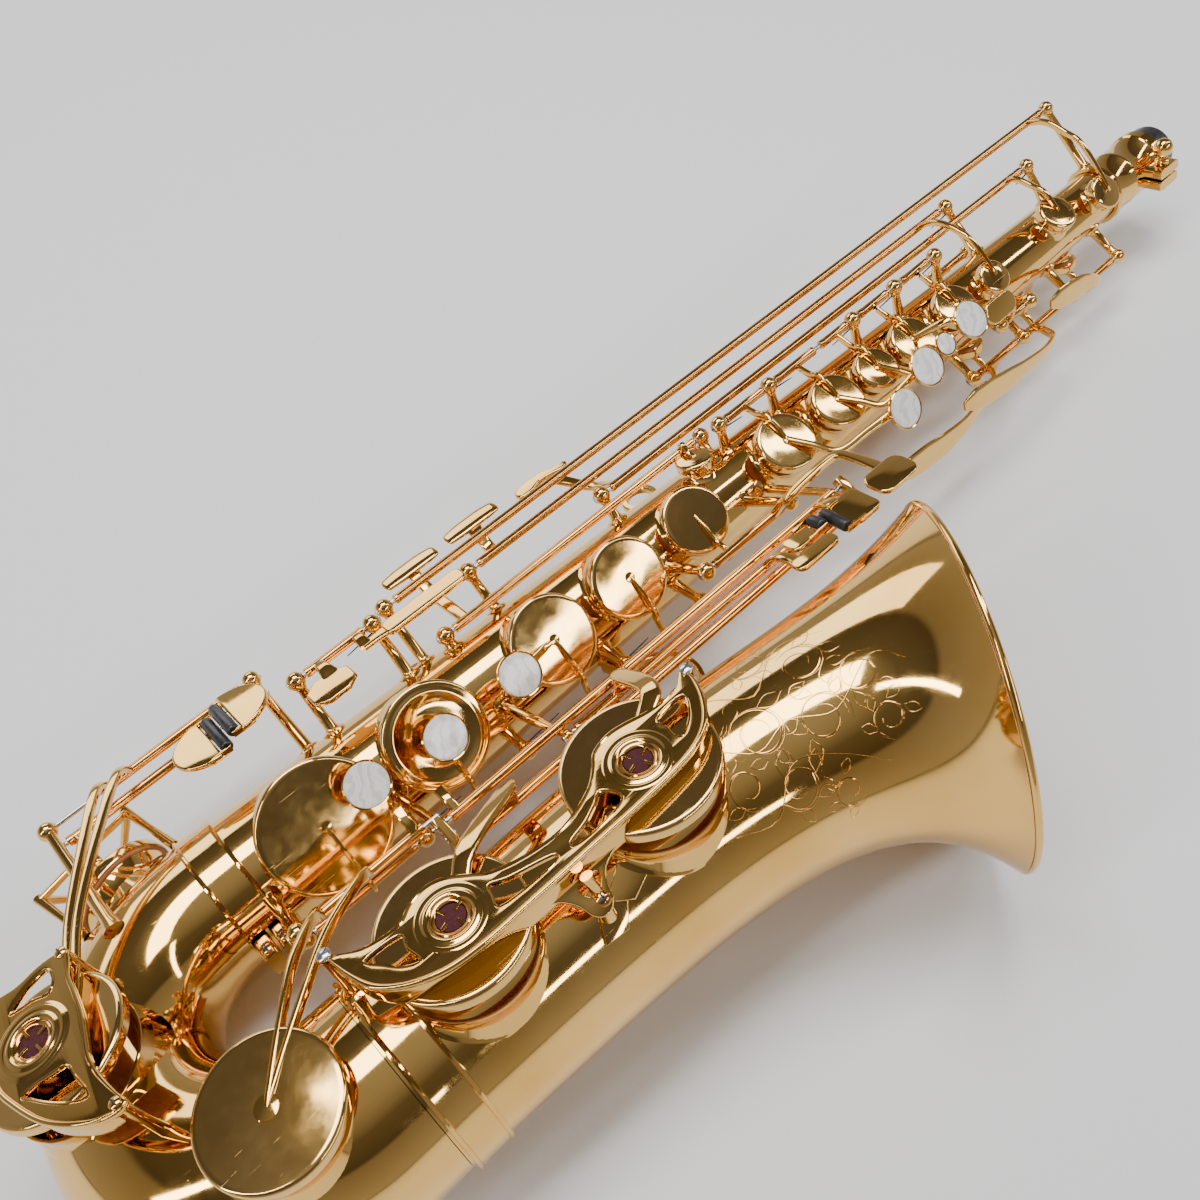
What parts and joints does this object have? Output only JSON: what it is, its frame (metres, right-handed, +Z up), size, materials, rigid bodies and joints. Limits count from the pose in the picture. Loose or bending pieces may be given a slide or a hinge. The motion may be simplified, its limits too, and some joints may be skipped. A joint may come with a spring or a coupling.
{
  "type": "tenor saxophone body",
  "caption": "Conical brass saxophone body with a curved bow and a flared bell, hinged pad keys, rods, guards and pearl touches, lying on its side.",
  "frame": {"origin": "centre of the bounding box, at its bottom, which is the surface the horn lies on", "axes": "+X along the body tube towards the neck receiver, +Z up from the surface, bell towards -Y"},
  "size_m": [0.7726, 0.2958, 0.1529],
  "materials": {
    "lacquer": "polished gold lacquer",
    "steel": "polished",
    "pearl": "mother-of-pearl",
    "black": "satin",
    "felt": "felt"
  },
  "bodies": {
    "horn": {"body_tube": "lacquer", "bow": "lacquer", "bell": "lacquer", "bell_rim": "lacquer", "low_tone_holes": "lacquer", "body_bow_ring": "lacquer", "bow_bell_ring": "lacquer", "bell_brace": "lacquer", "neck_receiver": "lacquer", "strap_ring": "lacquer", "thumb_hook": "lacquer", "thumb_rest": "black", "bell_key_guard": "lacquer", "low_c_guard": "lacquer", "low_eb_guard": "lacquer", "guard_felts": "felt", "guard_screws": "steel", "bow_guard_strip": "lacquer", "stack_posts": "lacquer", "key_posts": "lacquer", "hinge_rods": "steel"},
    "receiver_screw": {"receiver_screw": "lacquer"},
    "end_plug": {"end_plug": "black"},
    "octave_lever": {"octave_lever": "lacquer"},
    "octave_vent": {"octave_vent": "lacquer"},
    "front_f": {"front_f_key": "lacquer"},
    "palm_d": {"palm_d_key": "lacquer"},
    "palm_eb": {"palm_eb_key": "lacquer"},
    "palm_f": {"palm_f_key": "lacquer"},
    "lh1": {"lh1_key": "lacquer", "lh1_pearl": "pearl"},
    "c_vent": {"c_vent_key": "lacquer"},
    "bis": {"bis_key": "lacquer"},
    "lh2": {"lh2_key": "lacquer", "lh2_pearl": "pearl"},
    "lh3": {"lh3_key": "lacquer", "lh3_pearl": "pearl"},
    "g_sharp": {"g_sharp_key": "lacquer"},
    "cs_lever": {"low_cs_lever": "lacquer"},
    "cs_cup": {"low_cs_key": "lacquer"},
    "low_b": {"low_b_key": "lacquer"},
    "low_bb": {"low_bb_key": "lacquer"},
    "cs_roller": {"cs_roller": "black"},
    "b_roller": {"b_roller": "black"},
    "rh1": {"rh1_key": "lacquer", "rh1_pearl": "pearl"},
    "f_sharp": {"f_sharp_key": "lacquer"},
    "rh2": {"rh2_key": "lacquer", "rh2_pearl": "pearl"},
    "rh3": {"rh3_key": "lacquer", "rh3_pearl": "pearl"},
    "high_fs_touch": {"high_fs_touch": "lacquer"},
    "high_fs": {"high_fs_key": "lacquer"},
    "high_e": {"high_e_key": "lacquer"},
    "side_c": {"side_c_key": "lacquer"},
    "side_bb": {"side_bb_key": "lacquer"},
    "low_c": {"low_c_key": "lacquer"},
    "low_eb": {"low_eb_key": "lacquer"},
    "c_roller": {"c_roller": "black"},
    "eb_roller": {"eb_roller": "black"}
  },
  "joints": [
    {"name": "rh1_hinge", "type": "hinge", "parent": "horn", "child": "rh1", "pos_m": [-0.12241, 0.03726, 0.04539], "axis": [0.9997, 0, 0.0227], "range_deg": [-10, 0], "stiffness_Nm_per_rad": 0.12, "springref_deg": 28.65},
    {"name": "f_sharp_hinge", "type": "hinge", "parent": "horn", "child": "f_sharp", "pos_m": [-0.06842, 0.03726, 0.04662], "axis": [0.9997, 0, 0.0227], "range_deg": [-10, 0], "stiffness_Nm_per_rad": 0.12, "springref_deg": 28.65},
    {"name": "rh2_hinge", "type": "hinge", "parent": "horn", "child": "rh2", "pos_m": [-0.18039, 0.03726, 0.04408], "axis": [0.9997, 0, 0.0227], "range_deg": [-10, 0], "stiffness_Nm_per_rad": 0.12, "springref_deg": 28.65},
    {"name": "rh3_hinge", "type": "hinge", "parent": "horn", "child": "rh3", "pos_m": [-0.24038, 0.03726, 0.04272], "axis": [0.9997, 0, 0.0227], "range_deg": [-10, 0], "stiffness_Nm_per_rad": 0.16, "springref_deg": 28.65},
    {"name": "lh1_hinge", "type": "hinge", "parent": "horn", "child": "lh1", "pos_m": [0.13693, 0.0916, 0.07774], "axis": [0.9997, 0, 0.0227], "range_deg": [0, 10], "stiffness_Nm_per_rad": 0.1, "springref_deg": -28.65},
    {"name": "c_vent_hinge", "type": "hinge", "parent": "horn", "child": "c_vent", "pos_m": [0.17092, 0.0916, 0.07851], "axis": [0.9997, 0, 0.0227], "range_deg": [0, 10], "stiffness_Nm_per_rad": 0.1, "springref_deg": -28.65},
    {"name": "bis_hinge", "type": "hinge", "parent": "horn", "child": "bis", "pos_m": [0.10593, 0.0916, 0.07704], "axis": [0.9997, 0, 0.0227], "range_deg": [0, 10], "stiffness_Nm_per_rad": 0.1, "springref_deg": -28.65},
    {"name": "lh2_hinge", "type": "hinge", "parent": "horn", "child": "lh2", "pos_m": [0.07694, 0.0916, 0.07638], "axis": [0.9997, 0, 0.0227], "range_deg": [0, 10], "stiffness_Nm_per_rad": 0.1, "springref_deg": -28.65},
    {"name": "lh3_hinge", "type": "hinge", "parent": "horn", "child": "lh3", "pos_m": [0.03995, 0.0916, 0.07554], "axis": [0.9997, 0, 0.0227], "range_deg": [0, 10], "stiffness_Nm_per_rad": 0.1, "springref_deg": -28.65},
    {"name": "g_sharp_hinge", "type": "hinge", "parent": "horn", "child": "g_sharp", "pos_m": [-0.01303, 0.03411, 0.07427], "axis": [0.9997, 0, 0.0227], "range_deg": [0, 8], "stiffness_Nm_per_rad": 0.14, "springref_deg": -28.65},
    {"name": "cs_lever_hinge", "type": "hinge", "parent": "horn", "child": "cs_lever", "pos_m": [-0.1034, 0.01449, 0.08948], "axis": [0.9997, 0, 0.0227], "range_deg": [0, 8], "stiffness_Nm_per_rad": 0.1, "springref_deg": -28.65},
    {"name": "cs_cup_hinge", "type": "hinge", "parent": "horn", "child": "cs_cup", "pos_m": [-0.24927, 0.02077, 0.08225], "axis": [0.9997, 0, 0.0227], "range_deg": [-8, 0], "stiffness_Nm_per_rad": 0.3, "springref_deg": 28.65},
    {"name": "low_b_hinge", "type": "hinge", "parent": "horn", "child": "low_b", "pos_m": [-0.08731, 0.00428, 0.08563], "axis": [0.9997, 0, 0.0227], "range_deg": [0, 7], "stiffness_Nm_per_rad": 0.3, "springref_deg": -28.65},
    {"name": "low_bb_hinge", "type": "hinge", "parent": "horn", "child": "low_bb", "pos_m": [-0.05537, 0.00939, 0.08846], "axis": [0.9997, 0, 0.0227], "range_deg": [0, 6], "stiffness_Nm_per_rad": 0.3, "springref_deg": -28.65},
    {"name": "high_fs_touch_hinge", "type": "hinge", "parent": "horn", "child": "high_fs_touch", "pos_m": [-0.18908, 0.11918, 0.07424], "axis": [0.9997, 0, 0.0227], "range_deg": [0, 8], "stiffness_Nm_per_rad": 0.05, "springref_deg": -28.65},
    {"name": "high_fs_hinge", "type": "hinge", "parent": "horn", "child": "high_fs", "pos_m": [0.08295, 0.12533, 0.07591], "axis": [0.9997, 0, 0.0227], "range_deg": [-8, 0], "stiffness_Nm_per_rad": 0.12, "springref_deg": 28.65},
    {"name": "high_e_hinge", "type": "hinge", "parent": "horn", "child": "high_e", "pos_m": [0.1231, 0.10629, 0.06993], "axis": [0.9997, 0, 0.0227], "range_deg": [-8, 0], "stiffness_Nm_per_rad": 0.12, "springref_deg": 28.65},
    {"name": "side_c_hinge", "type": "hinge", "parent": "horn", "child": "side_c", "pos_m": [0.05708, 0.11693, 0.07008], "axis": [0.9997, 0, 0.0227], "range_deg": [-8, 0], "stiffness_Nm_per_rad": 0.12, "springref_deg": 28.65},
    {"name": "side_bb_hinge", "type": "hinge", "parent": "horn", "child": "side_bb", "pos_m": [-0.06485, 0.09805, 0.06551], "axis": [0.9997, 0, 0.0227], "range_deg": [-8, 0], "stiffness_Nm_per_rad": 0.1, "springref_deg": 28.65},
    {"name": "low_c_hinge", "type": "hinge", "parent": "horn", "child": "low_c", "pos_m": [-0.26177, 0.14392, 0.05969], "axis": [0.9997, 0, 0.0227], "range_deg": [0, 4.5], "stiffness_Nm_per_rad": 0.4, "springref_deg": -28.65},
    {"name": "low_eb_hinge", "type": "hinge", "parent": "horn", "child": "low_eb", "pos_m": [-0.28266, 0.13672, 0.05472], "axis": [0.9997, 0, 0.0227], "range_deg": [0, 6], "stiffness_Nm_per_rad": 0.3, "springref_deg": -28.65},
    {"name": "palm_d_hinge", "type": "hinge", "parent": "horn", "child": "palm_d", "pos_m": [0.19605, 0.04617, 0.029], "axis": [0.9997, 0, 0.0227], "range_deg": [-10, 0], "stiffness_Nm_per_rad": 0.1, "springref_deg": 28.65},
    {"name": "palm_eb_hinge", "type": "hinge", "parent": "horn", "child": "palm_eb", "pos_m": [0.24004, 0.04617, 0.03], "axis": [0.9997, 0, 0.0227], "range_deg": [-10, 0], "stiffness_Nm_per_rad": 0.1, "springref_deg": 28.65},
    {"name": "palm_f_hinge", "type": "hinge", "parent": "horn", "child": "palm_f", "pos_m": [0.28502, 0.04617, 0.03102], "axis": [0.9997, 0, 0.0227], "range_deg": [-10, 0], "stiffness_Nm_per_rad": 0.1, "springref_deg": 28.65},
    {"name": "octave_lever_hinge", "type": "hinge", "parent": "horn", "child": "octave_lever", "pos_m": [0.12621, 0.10111, 0.02089], "axis": [0.9997, 0, 0.0227], "range_deg": [-8, 0], "stiffness_Nm_per_rad": 0.06, "springref_deg": 28.65},
    {"name": "octave_vent_hinge", "type": "hinge", "parent": "horn", "child": "octave_vent", "pos_m": [0.22674, 0.10464, 0.04289], "axis": [0.9997, 0, 0.0227], "range_deg": [0, 8], "stiffness_Nm_per_rad": 0.04, "springref_deg": -28.65},
    {"name": "front_f_hinge", "type": "hinge", "parent": "horn", "child": "front_f", "pos_m": [0.19734, 0.04415, 0.0603], "axis": [0.9997, 0, 0.0227], "range_deg": [-8, 0], "stiffness_Nm_per_rad": 0.04, "springref_deg": 28.65},
    {"name": "cs_roller_spin", "type": "hinge", "parent": "cs_lever", "child": "cs_roller", "pos_m": [-0.00573, -0.00295, 0.10506], "axis": [0.0051, 0.9744, -0.2249], "continuous": true},
    {"name": "b_roller_spin", "type": "hinge", "parent": "low_b", "child": "b_roller", "pos_m": [-0.01192, 0.00206, 0.10465], "axis": [0.0078, 0.9397, -0.3419], "continuous": true},
    {"name": "c_roller_spin", "type": "hinge", "parent": "low_c", "child": "c_roller", "pos_m": [-0.24186, 0.12593, 0.07295], "axis": [0.0068, 0.9537, -0.3006], "continuous": true},
    {"name": "eb_roller_spin", "type": "hinge", "parent": "low_eb", "child": "eb_roller", "pos_m": [-0.24771, 0.12374, 0.07042], "axis": [0.0051, 0.9744, -0.2249], "continuous": true},
    {"name": "receiver_screw_turn", "type": "hinge", "parent": "horn", "child": "receiver_screw", "pos_m": [0.36256, 0.05892, 0.05242], "axis": [-0.0221, 0.225, 0.9741], "continuous": true},
    {"name": "end_plug_pull", "type": "slide", "parent": "horn", "child": "end_plug", "axis": [0.9997, 0, 0.0227], "range_m": [0, 0.05]}
  ],
  "couplings": [
    {"joint": "cs_cup_hinge", "follows": "cs_lever_hinge", "ratio": -1},
    {"joint": "high_fs_hinge", "follows": "high_fs_touch_hinge", "ratio": -1},
    {"joint": "c_vent_hinge", "follows": "lh1_hinge", "ratio": 1},
    {"joint": "f_sharp_hinge", "follows": "rh1_hinge", "ratio": 1},
    {"joint": "octave_vent_hinge", "follows": "octave_lever_hinge", "ratio": -1}
  ]
}
